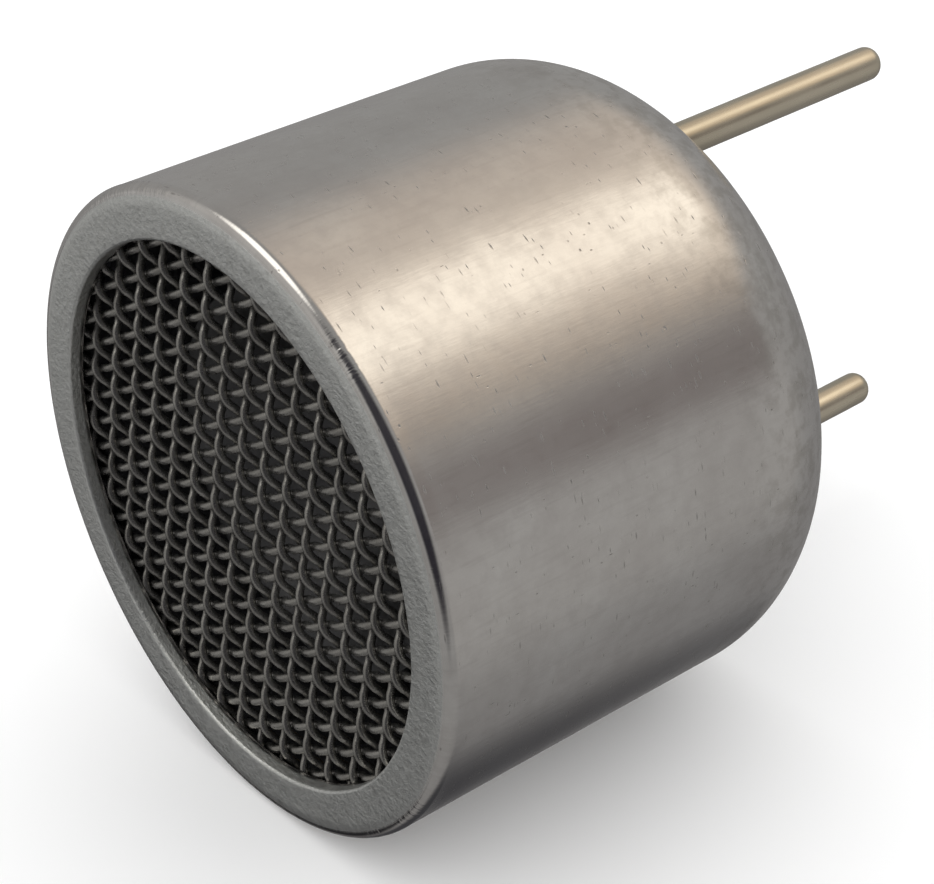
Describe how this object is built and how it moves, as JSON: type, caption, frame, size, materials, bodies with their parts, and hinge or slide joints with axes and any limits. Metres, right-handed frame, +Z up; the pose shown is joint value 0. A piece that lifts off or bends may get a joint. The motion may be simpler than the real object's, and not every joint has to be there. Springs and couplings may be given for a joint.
{
  "type": "ultrasonic distance sensor",
  "caption": "Round open-type ultrasonic transducer in a drawn aluminium can, with a woven front screen, a sprung resonator cone inside and straight round board pins at the rear.",
  "frame": {"origin": "centre of the rear face, where the sensor rests on its circuit board", "axes": "+Y out of the rear face along the pins, -Y out of the screen, +Z towards the signal pin; the can lies on its barrel with +Z up"},
  "size_m": [0.0162, 0.0218, 0.0162],
  "materials": {
    "can_aluminium": "satin drawn aluminium with fine scuffs",
    "screen_wire": "dark oxidised wire cloth",
    "black_plastic": "moulded black plastic",
    "cone_aluminium": "thin bright drawn foil",
    "epoxy_amber": "cured amber adhesive",
    "plate_nickel": "nickel-plated brass sheet",
    "piezo_ceramic": "unglazed piezo ceramic",
    "silver_film": "fired silver film",
    "silicone": "soft translucent-white silicone",
    "pin_plating": "tinned brass, slightly yellowish",
    "sealing_resin": "black sealing resin",
    "strip_bronze": "spring bronze",
    "solder": "bright solder",
    "lead_copper": "enamelled copper wire"
  },
  "bodies": {
    "housing": {"case": "can_aluminium", "front_screen": "screen_wire", "spacer_sleeve": "black_plastic", "nodal_ring": "silicone", "base": "black_plastic", "signal_pin": "pin_plating", "ground_pin": "pin_plating", "signal_pin_seal": "sealing_resin", "ground_pin_seal": "sealing_resin", "edge_seal": "sealing_resin", "case_contact": "strip_bronze", "signal_lead": "lead_copper", "ground_lead": "lead_copper", "signal_pin_solder": "solder", "ground_pin_solder": "solder"},
    "vibrator": {"resonator_cone": "cone_aluminium", "cone_adhesive": "epoxy_amber", "vibrating_plate": "plate_nickel", "front_electrode": "silver_film", "piezo_disc": "piezo_ceramic", "rear_electrode": "silver_film", "electrode_solder": "solder", "plate_solder": "solder"}
  },
  "joints": [
    {"name": "vibrator_slide", "type": "slide", "parent": "housing", "child": "vibrator", "axis": [0, 1, 0], "range_m": [-0.0001, 0.0001], "stiffness_N_per_m": 8000, "deforming": ["nodal_ring", "signal_lead", "ground_lead"]}
  ]
}
